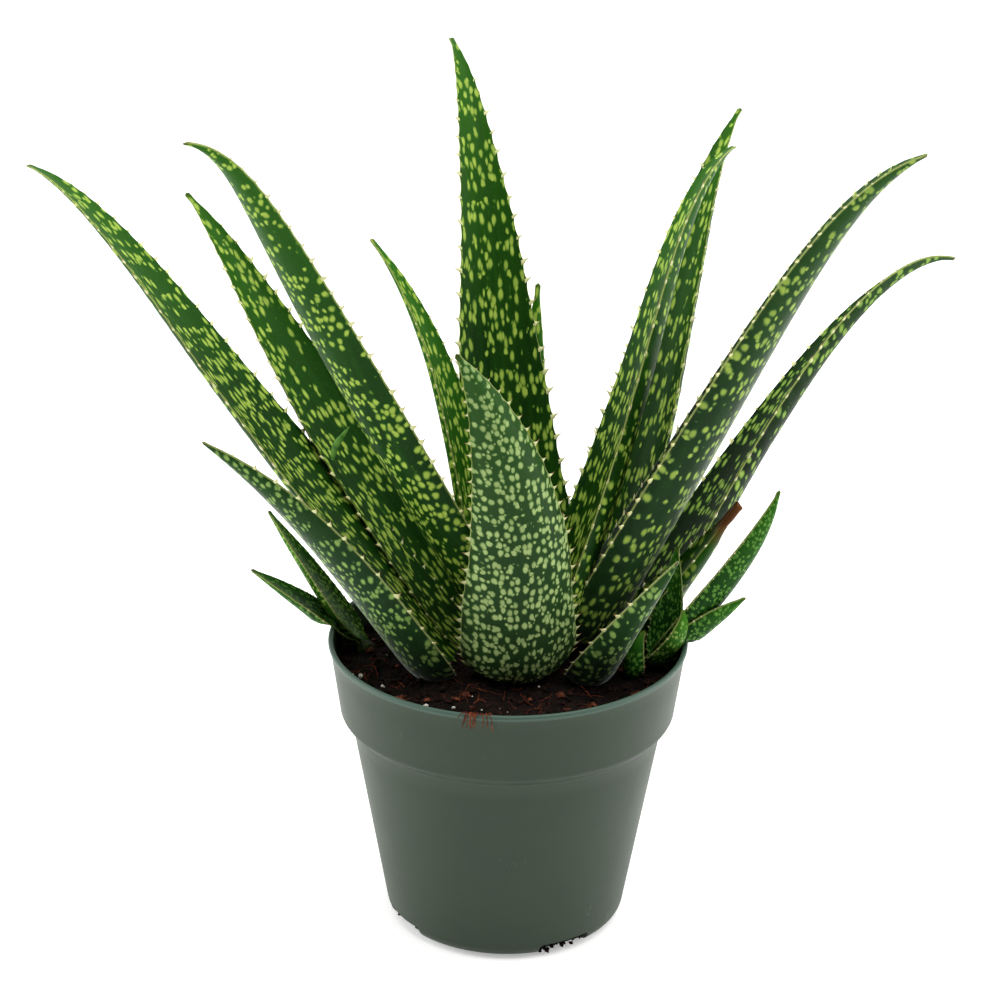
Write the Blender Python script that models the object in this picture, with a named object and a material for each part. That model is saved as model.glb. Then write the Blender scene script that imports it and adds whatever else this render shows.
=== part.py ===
"""A spotted aloe in a small nursery pot: metres, +Z up, the viewer stands at -Y.

The origin is the middle of the pot's flat base. Every leaf is one solid: its middle line bends by a
rule, and a channelled cross-section follows that line from the leaf's foot to its tip.
"""

import math
from typing import NamedTuple

import bmesh
import bpy
import numpy as np
from mathutils import Vector

MM = 0.001
GAP = 0.3  # air between touching solids, in millimetres like every size below
SURROUND = 30.0  # how far outside the rim no leaf may hang below the lip

# Pot
RIM_RADIUS = 54.0
POT_HEIGHT = 90.5
WALL = 1.2
LIP = 1.6
BAND_FOOT_RADIUS = 50.6
BAND_FOOT_HEIGHT = 69.0
SHOULDER = 3.0
WALL_FOOT_RADIUS = 36.5
CORNER = 5.0
FLOOR_THICKNESS = 2.2
RECESS_DEPTH = 0.8
RECESS_INNER = 21.0
RECESS_OUTER = 28.5
POT_SEGMENTS = 48
DRAIN_COUNT = 4
DRAIN_FIRST = -59.4
DRAIN_WIDTH = 17.0
DRAIN_HEIGHT = 4.2
DRAIN_INNER = 31.0

# Soil and stems
SOIL_TOP = 82.0
STEM_RADIUS = 7.0
STEM_TOP = 90.0
STEM_FOOT = 55.0
OFFSET_STEM_RADIUS = 3.0
OFFSET_STEM_TOP = 84.0
OFFSET_STEM_FOOT = 72.0
LEFT_OFFSET = (-43.0, 9.0)
RIGHT_OFFSET = (44.0, 0.0)

# Leaf mesh
LONG_LEAF_STATIONS = 13
SHORT_LEAF_STATIONS = 8
LONG_LEAF_ACROSS = 4
SHORT_LEAF_ACROSS = 3
EDGE_THICKNESS = 0.6
TIP_WIDTH = 0.8


class Leaf(NamedTuple):
    """Angles in degrees, lengths in millimetres."""

    azimuth: float  # the way it grows out of the crown: 0 right, 90 back, 180 left, -90 front
    sway: float  # how far its tip turns sideways
    lean_foot: float  # from upright, at the foot
    lean_tip: float  # from upright, at the tip
    arch: float  # 1 bends evenly, more keeps the bend for the tip
    length: float
    width: float  # at the foot
    taper: float  # 1 narrows evenly, more stays wide for longer
    thickness: float
    channel: float  # depth of the channel as a share of the width
    twist: float
    reach: float  # foot's distance out from the crown's middle
    height: float  # foot's height
    shift: float  # foot's sideways place


# From the outermost, which keeps its whole foot, to the innermost, which grows up between the others.
CROWN_LEAVES = {
    "leaf_front": Leaf(-79, -33, 5, 6, 1, 110, 36, 1.9, 8, 0.14, 7, 9.5, 83, 1),
    "leaf_front_left": Leaf(195, -17.5, 35.5, 61, 2.5, 105, 27, 2.4, 6, 0.12, 31, 19, 82, 1),
    "leaf_front_right": Leaf(-50.5, 11, 37.5, 39, 2, 61, 18.5, 1.9, 7, 0.13, 14, 18.5, 82.5, 12),
    "leaf_left_outer": Leaf(160.7, -28.4, 45, 92.7, 5.8, 210.6, 29, 2.2, 5, 0.08, 2, 13.1, 83.3, 1),
    "leaf_right_outer": Leaf(40, 5, 45, 112, 4, 193, 35, 0.96, 5.7, 0.17, -43.5, 29, 74, -7),
    "leaf_right_long": Leaf(-9, -39, 28, 57.5, 6.5, 210, 35, 1.9, 8.4, 0.2, -7, 12, 87, 17.5),
    "leaf_left_tall": Leaf(203.5, 28.5, 29.4, 74, 11.6, 206, 24, 2.9, 6, 0.12, 30, -1, 97, -5.5),
    "leaf_withered": Leaf(-2, 0, 65, 35, 0.5, 78, 27, 2, 6, 0.18, -1, 12.5, 74.5, 15),
    "leaf_left_back": Leaf(152.5, -21, 42.5, 66, 7, 169, 29, 1.8, 6.5, 0.14, -30, 11.7, 83.6, -9.6),
    "leaf_right_tall": Leaf(18, 47, 20.5, 102, 6, 173, 29, 2.1, 6, 0.12, -15, 8.5, 89, 0.5),
    "leaf_right_back": Leaf(41, 18, 22.5, 63, 5, 176, 35, 1.5, 7, 0.18, 8, 25, 80, 0.5),
    "leaf_young_back": Leaf(82, 0, 24, 27, 2, 105, 20, 1.8, 5, 0.16, -5, 28, 81.5, 2),
    "leaf_centre_tall": Leaf(105, -2, 24.5, 85, 5, 193, 41, 1.1, 7, 0.16, -1, 5.5, 91, -7),
    "leaf_young_left": Leaf(142, -2, 15.5, 57, 3, 126, 20, 1.6, 5, 0.16, 5, 1.5, 92, -1.5),
}
LEFT_OFFSET_LEAVES = {
    "offset_left_leaf_low": Leaf(182, 2, 43, 60, 0.5, 38, 12, 2.1, 3.5, 0.12, -7, 3, 85, -2),
    "offset_left_leaf_side": Leaf(168, 1, 35.5, 38, 1, 47, 12, 2, 3.5, 0.12, -1, 2, 85, -2.5),
}
RIGHT_OFFSET_LEAVES = {
    "offset_right_leaf_long": Leaf(-11, -2, 38, 17, 3, 64.5, 16, 2.5, 4, 0.15, -38, 0, 86, 4),
    "offset_right_leaf_low": Leaf(-15, 2, 42.5, 56, 0.5, 32, 14, 2.6, 3.5, 0.15, -39, 1, 86, 2.5),
    "offset_right_leaf_back": Leaf(59, 1, 13, 15, 1, 35, 12, 2.1, 4, 0.14, 0, -0.5, 83.5, -2.5),
    "offset_right_leaf_short": Leaf(-35, -4, 45, 0, 2, 21, 13, 2.4, 3.5, 0.08, -3, 0, 85, -1),
    "offset_right_leaf_bud": Leaf(-127, 13, 7, -29, 1, 13, 7, 2.3, 4, 0.12, -3, 9.5, 82.5, 0),
}

# Loose grains on the soil: (x, y, size)
PERLITE_GRAINS = ((-44, -10, 3.0), (-37, -17, 2.4), (-24, -30, 2.6), (34, -28, 2.8), (20, 38, 3.0))
BARK_CHIPS = ((-33, -26, 6.0), (38, -20, 5.0), (-6, 42, 7.0))


def clear_scene():
    for thing in list(bpy.data.objects):
        bpy.data.objects.remove(thing, do_unlink=True)


def material(name, colour, roughness):
    made = bpy.data.materials.new(name)
    made.use_nodes = True
    shader = made.node_tree.nodes["Principled BSDF"]
    shader.inputs["Base Color"].default_value = (*colour, 1)
    shader.inputs["Roughness"].default_value = roughness
    shader.inputs["Metallic"].default_value = 0
    made.diffuse_color = (*colour, 1)
    return made


def add_object(name, bm, finish=None):
    """Turns a bmesh in millimetres into an object in metres."""
    bmesh.ops.scale(bm, vec=(MM, MM, MM), verts=bm.verts)
    bmesh.ops.recalc_face_normals(bm, faces=bm.faces)
    mesh = bpy.data.meshes.new(name)
    bm.to_mesh(mesh)
    bm.free()
    thing = bpy.data.objects.new(name, mesh)
    bpy.context.scene.collection.objects.link(thing)
    if finish:
        mesh.materials.append(finish)
        mesh.shade_smooth()
        mesh.set_sharp_from_angle(angle=math.radians(40))
    return thing


def skin(rings):
    """A closed bmesh over rings of points, each ring with the same number of points."""
    bm = bmesh.new()
    loops = [[bm.verts.new(point) for point in ring] for ring in rings]
    for lower, upper in zip(loops, loops[1:]):
        count = len(lower)
        for i in range(count):
            j = (i + 1) % count
            bm.faces.new((lower[i], lower[j], upper[j], upper[i]))
    bm.faces.new(loops[0][::-1])
    bm.faces.new(loops[-1])
    bmesh.ops.triangulate(bm, faces=[f for f in bm.faces if len(f.verts) > 4])
    return bm


def turned(outline, segments=POT_SEGMENTS):
    """A closed bmesh from a profile of (radius, height) that starts and ends on the axis."""
    bm = bmesh.new()
    first = bm.verts.new((0, 0, outline[0][1]))
    last = bm.verts.new((0, 0, outline[-1][1]))
    rings = []
    for radius, height in outline[1:-1]:
        angles = (math.tau * i / segments for i in range(segments))
        rings.append([bm.verts.new((radius * math.cos(a), radius * math.sin(a), height)) for a in angles])
    for i in range(segments):
        j = (i + 1) % segments
        bm.faces.new((first, rings[0][j], rings[0][i]))
        for below, above in zip(rings, rings[1:]):
            bm.faces.new((below[i], below[j], above[j], above[i]))
        bm.faces.new((rings[-1][i], rings[-1][j], last))
    return bm


def arc(centre, radius, start, end, steps):
    """Points of a round corner, from one angle to another in degrees."""
    angles = [math.radians(start + (end - start) * i / steps) for i in range(steps + 1)]
    return [(centre[0] + radius * math.cos(a), centre[1] + radius * math.sin(a)) for a in angles]


def pot_outline():
    """Up the outside from the middle of the base, over the lip and down the inside."""
    wall_top = BAND_FOOT_RADIUS - SHOULDER
    base = [(0, 0), (RECESS_INNER, 0), (RECESS_INNER + 1, RECESS_DEPTH)]
    base += [(RECESS_OUTER - 1, RECESS_DEPTH), (RECESS_OUTER, 0)]
    base += arc((WALL_FOOT_RADIUS - CORNER, CORNER), CORNER, -90, -10, 4)
    shoulder = arc((wall_top, BAND_FOOT_HEIGHT), SHOULDER, -60, 0, 3)
    outside = [(wall_top - 0.6, BAND_FOOT_HEIGHT - SHOULDER - 2)] + shoulder
    lip_middle = (RIM_RADIUS - LIP / 2, POT_HEIGHT - LIP / 2)
    lip_foot = [(RIM_RADIUS - LIP / 2, POT_HEIGHT - 2 * LIP)]
    lip = lip_foot + arc(lip_middle, LIP / 2, 0, 180, 4)
    inside = [
        (BAND_FOOT_RADIUS - WALL, BAND_FOOT_HEIGHT),
        (wall_top - WALL - 0.6, BAND_FOOT_HEIGHT - SHOULDER - 1),
        (WALL_FOOT_RADIUS - WALL, CORNER + 1),
        (WALL_FOOT_RADIUS - WALL - 3, FLOOR_THICKNESS),
        (0, FLOOR_THICKNESS),
    ]
    return base + outside + lip + inside


def cut(thing, cutter, solver="EXACT"):
    """A Boolean difference; the cutter stays as a hidden helper."""
    cutter.hide_render = True
    cutter.display_type = "WIRE"
    modifier = thing.modifiers.new("cut_" + cutter.name, "BOOLEAN")
    modifier.operation = "DIFFERENCE"
    modifier.solver = solver
    modifier.object = cutter


def make_pot(plastic):
    pot = add_object("nursery_pot", turned(pot_outline()), plastic)
    for i in range(DRAIN_COUNT):
        bm = bmesh.new()
        bmesh.ops.create_cube(bm, size=1)
        reach = WALL_FOOT_RADIUS + 2 - DRAIN_INNER
        bmesh.ops.scale(bm, vec=(reach, DRAIN_WIDTH, DRAIN_HEIGHT + 1), verts=bm.verts)
        bmesh.ops.translate(bm, vec=(DRAIN_INNER + reach / 2, 0, (DRAIN_HEIGHT - 1) / 2), verts=bm.verts)
        slot = add_object(f"drain_slot_cutter_{i + 1}", bm)
        slot.rotation_euler.z = math.radians(DRAIN_FIRST + 360 / DRAIN_COUNT * i)
        cut(pot, slot)
    return pot


def band_inside(height):
    """The inner radius of the rim band at a height."""
    lip_inside = (RIM_RADIUS - LIP, POT_HEIGHT - LIP / 2)
    share = (height - BAND_FOOT_HEIGHT) / (lip_inside[1] - BAND_FOOT_HEIGHT)
    return BAND_FOOT_RADIUS - WALL + share * (lip_inside[0] - BAND_FOOT_RADIUS + WALL)


def soil_outline():
    """The pressed plug inside the pot, a gap away from its wall and floor."""
    room = GAP + 0.1
    return [
        (0, FLOOR_THICKNESS + GAP),
        (WALL_FOOT_RADIUS - WALL - 3 - GAP, FLOOR_THICKNESS + GAP),
        (WALL_FOOT_RADIUS - WALL - room, CORNER + 1.2),
        (BAND_FOOT_RADIUS - SHOULDER - WALL - 0.6 - room, BAND_FOOT_HEIGHT - SHOULDER - 1),
        (BAND_FOOT_RADIUS - WALL - room, BAND_FOOT_HEIGHT + 0.3),
        (band_inside(SOIL_TOP - 1) - room, SOIL_TOP - 1),
        (band_inside(SOIL_TOP) - 4, SOIL_TOP),
        (0, SOIL_TOP),
    ]


def pot_room_outline():
    """The rim band and all that is round it, up to a gap above the lip.

    A leaf that leans over the lip stays above it, and nothing of it hangs down outside.
    """
    outer = RIM_RADIUS + SURROUND
    inner = RIM_RADIUS - LIP - GAP
    foot = SOIL_TOP - 6
    top = POT_HEIGHT + GAP
    below = [(0, foot - 1), (outer, foot - 1), (outer, top)]
    return below + [(inner, top), (band_inside(foot) - GAP, foot), (0, foot)]


def rod_outline(radius, foot, top, grow=0.0):
    """A short stem with a domed top."""
    wide = radius + grow
    dome = arc((0, top - wide), wide, 0, 60, 3)
    return [(0, foot - grow), (wide, foot - grow)] + dome + [(0, top + grow)]


def add_stem(name, place, radius, foot, top, finish=None, grow=0.0):
    stem = add_object(name, turned(rod_outline(radius, foot, top, grow), 16), finish)
    stem.location = (place[0] * MM, place[1] * MM, 0)
    return stem


def leaf_rings(leaf, crown, stations, across, grow=0.0):
    """The leaf's cross-sections from foot to tip. A grown leaf is larger all round, for a cutter."""
    s = np.linspace(0, 1, stations)
    fine = np.linspace(0, 1, 10 * (stations - 1) + 1)
    azimuth = math.radians(leaf.azimuth)
    out = np.array([math.cos(azimuth), math.sin(azimuth), 0])
    side = np.array([-math.sin(azimuth), math.cos(azimuth), 0])
    up = np.array([0, 0, 1.0])

    def directions(t):
        lean = np.radians(leaf.lean_foot + (leaf.lean_tip - leaf.lean_foot) * t**leaf.arch)[:, None]
        sway = np.radians(leaf.sway * t**2)[:, None]
        rise = out * np.sin(lean) + up * np.cos(lean)
        along = rise * np.cos(sway) + side * np.sin(sway)
        sideways = side * np.cos(sway) - rise * np.sin(sway)
        back = out * np.cos(lean) - up * np.sin(lean)
        return along, sideways, back

    along = directions(fine)[0]
    steps = (along[1:] + along[:-1]) / 2 * leaf.length / (len(fine) - 1)
    line = np.vstack([np.zeros(3), np.cumsum(steps, axis=0)])[::10]
    foot = out * leaf.reach + side * leaf.shift + up * leaf.height + np.array([*crown, 0])
    line = line + foot
    along, sideways, back = directions(s)
    line[0] -= along[0] * grow
    line[-1] += along[-1] * grow
    twist = np.radians(leaf.twist) * (0.35 + 0.65 * s)[:, None]
    across_way = sideways * np.cos(twist) - back * np.sin(twist)
    back_way = back * np.cos(twist) + sideways * np.sin(twist)
    width = np.maximum(leaf.width * np.maximum(1 - s**leaf.taper, 0) ** 0.95, TIP_WIDTH)
    thickness = leaf.thickness * (1 - s) ** 0.7
    x = -np.cos(np.linspace(0, math.pi, across + 1))
    rings = []
    for i in range(stations):
        share = 1 - x**2
        inner = leaf.channel * width[i] * share - grow
        outer = inner + 2 * grow + EDGE_THICKNESS + thickness[i] * share**0.6
        u = x * (width[i] / 2 + grow)
        front = line[i] + np.outer(u, across_way[i]) + np.outer(inner, back_way[i])
        rear = line[i] + np.outer(u, across_way[i]) + np.outer(outer, back_way[i])
        rings.append([*front, *rear[::-1]])
    return rings


def largest_island(bm):
    """Keeps the piece with the largest box, and deletes the crumbs that a cut leaves."""
    unseen = set(bm.verts)
    islands = []
    while unseen:
        stack = [unseen.pop()]
        island = list(stack)
        while stack:
            for edge in stack.pop().link_edges:
                for vert in edge.verts:
                    if vert in unseen:
                        unseen.remove(vert)
                        stack.append(vert)
                        island.append(vert)
        islands.append(island)

    def size(island):
        places = np.array([v.co for v in island])
        return float(np.prod(places.max(axis=0) - places.min(axis=0)))

    islands.sort(key=size)
    for island in islands[:-1]:
        bmesh.ops.delete(bm, geom=island, context="VERTS")


def trim(thing, cutters):
    """Cuts a leaf by each cutter whose box meets its own, and keeps the largest piece.

    The MANIFOLD solver is used because EXACT loses two of the leaves, whose feet cross at a grazing angle.
    """
    low, high = box_of(thing)
    for cutter in cutters:
        other_low, other_high = box_of(cutter)
        if (low < other_high).all() and (other_low < high).all():
            cut(thing, cutter, "MANIFOLD")
    bpy.context.view_layer.update()
    graph = bpy.context.evaluated_depsgraph_get()
    bm = bmesh.new()
    bm.from_mesh(thing.evaluated_get(graph).to_mesh())
    thing.modifiers.clear()
    largest_island(bm)
    bmesh.ops.dissolve_degenerate(bm, dist=1e-5, edges=bm.edges)
    bmesh.ops.triangulate(bm, faces=[f for f in bm.faces if len(f.verts) > 4])
    bm.to_mesh(thing.data)
    bm.free()


def box_of(thing):
    bpy.context.view_layer.update()
    corners = np.array([thing.matrix_world @ Vector(corner) for corner in thing.bound_box])
    return corners.min(axis=0), corners.max(axis=0)


def add_leaves(leaves, crown, cutters, finish, stations, across):
    """Each leaf is trimmed by those already made, then joins them as a cutter for the next."""
    for name, leaf in leaves.items():
        thing = add_object(name, skin(leaf_rings(leaf, crown, stations, across)), finish)
        trim(thing, cutters)
        grown = skin(leaf_rings(leaf, crown, stations, across, grow=GAP))
        cutters.append(add_object("room_for_" + name, grown))


def grain(name, x, y, size, finish, flatness, seed):
    """A small broken lump that lies on the soil."""
    bm = bmesh.new()
    bmesh.ops.create_icosphere(bm, subdivisions=1, radius=size / 2)
    dice = np.random.default_rng(seed)
    for vert in bm.verts:
        vert.co *= dice.uniform(0.8, 1.1)
        vert.co.z *= flatness
    lowest = min(vert.co.z for vert in bm.verts)
    bmesh.ops.translate(bm, vec=(x, y, SOIL_TOP + GAP - lowest), verts=bm.verts)
    return add_object(name, bm, finish)


def build():
    clear_scene()
    plastic = material("grey_green_polypropylene", (0.085, 0.115, 0.085), 0.45)
    peat = material("peat_soil", (0.018, 0.010, 0.006), 0.95)
    leaf_skin = material("aloe_leaf", (0.025, 0.085, 0.022), 0.4)
    young_skin = material("young_aloe_leaf", (0.09, 0.22, 0.03), 0.4)
    stem_skin = material("aloe_stem", (0.25, 0.30, 0.12), 0.6)
    white_grain = material("perlite", (0.75, 0.72, 0.66), 0.9)
    bark = material("bark", (0.10, 0.04, 0.018), 0.9)

    make_pot(plastic)
    soil = add_object("potting_soil", turned(soil_outline()), peat)
    stems = {
        "crown_stem": ((0, 0), STEM_RADIUS, STEM_FOOT, STEM_TOP),
        "offset_left_stem": (LEFT_OFFSET, OFFSET_STEM_RADIUS, OFFSET_STEM_FOOT, OFFSET_STEM_TOP),
        "offset_right_stem": (RIGHT_OFFSET, OFFSET_STEM_RADIUS, OFFSET_STEM_FOOT, OFFSET_STEM_TOP),
    }
    soil_room = [(0, 0), (70, 0), (70, SOIL_TOP + GAP), (0, SOIL_TOP + GAP)]
    cutters = [
        add_object("room_for_soil", turned(soil_room)),
        add_object("room_for_pot", turned(pot_room_outline())),
    ]
    for name, (place, radius, foot, top) in stems.items():
        add_stem(name, place, radius, foot, top, stem_skin)
        room = add_stem("room_for_" + name, place, radius, foot, top, grow=GAP)
        cut(soil, room)
        cutters.append(room)
    add_leaves(CROWN_LEAVES, (0, 0), cutters, leaf_skin, LONG_LEAF_STATIONS, LONG_LEAF_ACROSS)
    short = (SHORT_LEAF_STATIONS, SHORT_LEAF_ACROSS)
    add_leaves(LEFT_OFFSET_LEAVES, LEFT_OFFSET, cutters, young_skin, *short)
    add_leaves(RIGHT_OFFSET_LEAVES, RIGHT_OFFSET, cutters, young_skin, *short)
    for helper in cutters:
        helper.hide_render = True
        helper.display_type = "WIRE"
    for i, (x, y, size) in enumerate(PERLITE_GRAINS):
        grain(f"perlite_grain_{i + 1}", x, y, size, white_grain, 0.8, i)
    for i, (x, y, size) in enumerate(BARK_CHIPS):
        grain(f"bark_chip_{i + 1}", x, y, size, bark, 0.3, 10 + i)


build()
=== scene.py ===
# %% [markdown]
# # A spotted aloe in a nursery pot
#
# The plant is a rosette: thick, channelled leaves with toothed edges stand round a short stem, and two young
# side plants grow between the old plant and the rim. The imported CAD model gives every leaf, the soil and the
# pot their place and size. This lesson grows fine versions of them around that model: smooth skins with real
# teeth, spots that follow each leaf, crumbly soil, and a moulded pot.

import math
from functools import partial
from typing import NamedTuple

import bmesh
import bpy
import numpy as np
from mathutils import Matrix, Vector, noise


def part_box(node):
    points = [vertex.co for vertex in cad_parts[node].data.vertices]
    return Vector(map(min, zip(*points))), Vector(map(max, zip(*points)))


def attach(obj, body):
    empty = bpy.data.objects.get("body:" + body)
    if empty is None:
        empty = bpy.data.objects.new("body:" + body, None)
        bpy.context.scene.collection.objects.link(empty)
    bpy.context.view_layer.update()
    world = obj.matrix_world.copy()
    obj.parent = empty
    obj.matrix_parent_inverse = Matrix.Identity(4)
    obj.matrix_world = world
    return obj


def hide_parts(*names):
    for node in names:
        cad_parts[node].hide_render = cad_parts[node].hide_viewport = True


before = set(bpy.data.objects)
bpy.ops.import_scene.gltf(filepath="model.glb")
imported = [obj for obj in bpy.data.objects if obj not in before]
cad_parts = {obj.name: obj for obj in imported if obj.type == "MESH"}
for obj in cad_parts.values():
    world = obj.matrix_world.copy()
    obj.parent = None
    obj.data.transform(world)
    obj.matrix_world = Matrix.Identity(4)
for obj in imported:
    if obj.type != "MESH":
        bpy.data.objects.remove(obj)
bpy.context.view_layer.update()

# %% [markdown]
# ## Tools for every piece
#
# Sizes are easier to read in millimetres, and Blender wants metres, so each mesh is turned to metres as it is
# made. Colours are written as the sRGB hex that a paint chart would give, and shaders want linear light.

# %% Units and colours
MM = 0.001


def linear(hex_colour):
    """The linear light of an sRGB hex colour."""
    parts = [int(hex_colour[i : i + 2], 16) / 255 for i in (1, 3, 5)]
    return (*(c / 12.92 if c <= 0.04045 else ((c + 0.055) / 1.055) ** 2.4 for c in parts), 1.0)


print("mid green in linear light:", [round(c, 3) for c in linear("#2F5A22")])

# %% [markdown]
# A material is a small graph. One function adds any node: its own settings are given by name, and each of its
# inputs takes a value, the output of an earlier node, or the node itself, which stands for the first output
# that its settings leave live.


# %% Add a node, start a material
FACTOR, FIRST, SECOND = 0, 6, 7  # the inputs of a Mix node that mixes colours


def live(node):
    return next(socket for socket in node.outputs if socket.enabled)


def add_node(tree, kind, inputs=None, **settings):
    made = tree.nodes.new("ShaderNode" + kind)
    for name, value in settings.items():
        setattr(made, name, value)
    for name, value in (inputs or {}).items():
        if isinstance(value, bpy.types.Node):
            value = live(value)
        if isinstance(value, bpy.types.NodeSocket):
            tree.links.new(value, made.inputs[name])
        else:
            made.inputs[name].default_value = value
    return made


def start_material(name, ior, **uniform):
    """A material, its Principled shader with the values it has all over, and what adds its nodes."""
    made = bpy.data.materials.new(name)
    made.use_nodes = True
    shader = made.node_tree.nodes["Principled BSDF"]
    shader.inputs["IOR"].default_value = ior
    for socket, value in uniform.items():
        shader.inputs[socket.replace("_", " ")].default_value = value
    return made, shader, partial(add_node, made.node_tree)


def layered(add, colour, layers):
    """The colour with each of the layers, a share and a tone, mixed over it in turn."""
    for share, tone in layers:
        tone = linear(tone) if isinstance(tone, str) else tone
        colour = add("Mix", {FACTOR: share, FIRST: colour, SECOND: tone}, data_type="RGBA")
    return colour


def finish_material(add, shader, colour, roughness, height, depth):
    """Links the colour, the roughness and a bump of the given depth in millimetres."""
    bump = add("Bump", {"Height": height, "Distance": depth * MM, "Strength": 1.0})
    for socket, node in (("Base Color", colour), ("Roughness", roughness), ("Normal", bump)):
        shader.id_data.links.new(live(node), shader.inputs[socket])


# %% [markdown]
# Most of the pieces are skins over a row of rings: a leaf, a tooth, the soil, the pot. The same function can
# make them all. It returns plain lists, so that a leaf and its teeth can be joined before the mesh is made.


# %% Skin a row of rings
def loft(rings):
    """Points and faces of a closed skin over rings that all have the same number of points."""
    rings = np.asarray(rings, float)
    count, around = rings.shape[:2]
    faces = []
    for r in range(count - 1):
        for i in range(around):
            j = (i + 1) % around
            faces.append((r * around + i, r * around + j, (r + 1) * around + j, (r + 1) * around + i))
    faces.append(tuple(range(around))[::-1])
    faces.append(tuple((count - 1) * around + i for i in range(around)))
    return rings.reshape(-1, 3), faces


def gather(parts):
    """Joins several lots of points and faces into one."""
    points, faces, count = [], [], 0
    for part_points, part_faces in parts:
        points.append(part_points)
        faces += [tuple(index + count for index in face) for face in part_faces]
        count += len(part_points)
    return np.vstack(points), faces


def circle(radius, around, height):
    """A ring round the Z axis. The height is a number, or a rule that gives one for each place."""
    turns = np.arange(around) * math.tau / around
    ring = [(radius * math.cos(a), radius * math.sin(a)) for a in turns]
    return [(x, y, height(x, y) if callable(height) else height) for x, y in ring]


def put_in_scene(name, data):
    thing = bpy.data.objects.new(name, data)
    bpy.context.scene.collection.objects.link(thing)
    return thing


def make_object(name, points, faces, materials, slots=None):
    """A mesh object in metres, with faces that point out, which rides on the model's one body."""
    mesh = bpy.data.meshes.new(name)
    mesh.from_pydata((np.asarray(points) * MM).tolist(), [], faces)
    for finish in materials:
        mesh.materials.append(finish)
    if slots is not None:
        mesh.polygons.foreach_set("material_index", slots)
    mesh.shade_smooth()
    mesh.update()
    thing = put_in_scene(name, mesh)
    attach(thing, "root")
    return thing


def give_attribute(thing, name, values):
    attribute = thing.data.attributes.new(name, "FLOAT", "POINT")
    attribute.data.foreach_set("value", np.asarray(values, np.float32))


# %% [markdown]
# ## The leaves
#
# An aloe leaf is a long water store. It leans out of the crown, arches over towards its tip, and its inner
# face is hollowed like a gutter. A modeller could sculpt each one, but leaves that obey one rule look like
# one plant. So a leaf is a row of numbers: where its foot stands, how it leans and bends, and how its width
# and thickness fall away. They are the same numbers as in the CAD model.


# %% What describes a leaf
class Leaf(NamedTuple):
    """Angles in degrees, lengths in millimetres."""

    azimuth: float  # the way it grows out of the crown: 0 right, 90 back, 180 left, -90 front
    sway: float  # how far its tip turns sideways
    lean_foot: float  # from upright, at the foot
    lean_tip: float  # from upright, at the tip
    arch: float  # 1 bends evenly, more keeps the bend for the tip
    length: float
    width: float  # at the foot
    taper: float  # 1 narrows evenly, more stays wide for longer
    thickness: float
    channel: float  # depth of the channel as a share of the width
    twist: float
    reach: float  # foot's distance out from the crown's middle
    height: float  # foot's height
    shift: float  # foot's sideways place


EDGE_THICKNESS = 0.6
TIP_WIDTH = 1.4
LEFT_OFFSET = (-43.0, 9.0)
RIGHT_OFFSET = (44.0, 0.0)

# %% The fourteen leaves of the old plant
CROWN_LEAVES = {
    "leaf_front": Leaf(-79, -33, 5, 6, 1, 110, 36, 1.9, 8, 0.14, 7, 9.5, 83, 1),
    "leaf_front_left": Leaf(195, -17.5, 35.5, 61, 2.5, 105, 27, 2.4, 6, 0.12, 31, 19, 82, 1),
    "leaf_front_right": Leaf(-50.5, 11, 37.5, 39, 2, 61, 18.5, 1.9, 7, 0.13, 14, 18.5, 82.5, 12),
    "leaf_left_outer": Leaf(160.7, -28.4, 45, 92.7, 5.8, 210.6, 29, 2.2, 5, 0.08, 2, 13.1, 83.3, 1),
    "leaf_right_outer": Leaf(40, 5, 45, 112, 4, 193, 35, 0.96, 5.7, 0.17, -43.5, 29, 74, -7),
    "leaf_right_long": Leaf(-9, -39, 28, 57.5, 6.5, 210, 35, 1.9, 8.4, 0.2, -7, 12, 87, 17.5),
    "leaf_left_tall": Leaf(203.5, 28.5, 29.4, 74, 11.6, 206, 24, 2.9, 6, 0.12, 30, -1, 97, -5.5),
    "leaf_withered": Leaf(-2, 0, 65, 35, 0.5, 78, 27, 2, 6, 0.18, -1, 12.5, 74.5, 15),
    "leaf_left_back": Leaf(152.5, -21, 42.5, 66, 7, 169, 29, 1.8, 6.5, 0.14, -30, 11.7, 83.6, -9.6),
    "leaf_right_tall": Leaf(18, 47, 20.5, 102, 6, 173, 29, 2.1, 6, 0.12, -15, 8.5, 89, 0.5),
    "leaf_right_back": Leaf(41, 18, 22.5, 63, 5, 176, 35, 1.5, 7, 0.18, 8, 25, 80, 0.5),
    "leaf_young_back": Leaf(82, 0, 24, 27, 2, 105, 20, 1.8, 5, 0.16, -5, 28, 81.5, 2),
    "leaf_centre_tall": Leaf(105, -2, 24.5, 85, 5, 193, 41, 1.1, 7, 0.16, -1, 5.5, 91, -7),
    "leaf_young_left": Leaf(142, -2, 15.5, 57, 3, 126, 20, 1.6, 5, 0.16, 5, 1.5, 92, -1.5),
}
print(len(CROWN_LEAVES), "leaves, the longest", max(leaf.length for leaf in CROWN_LEAVES.values()), "mm")

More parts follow.
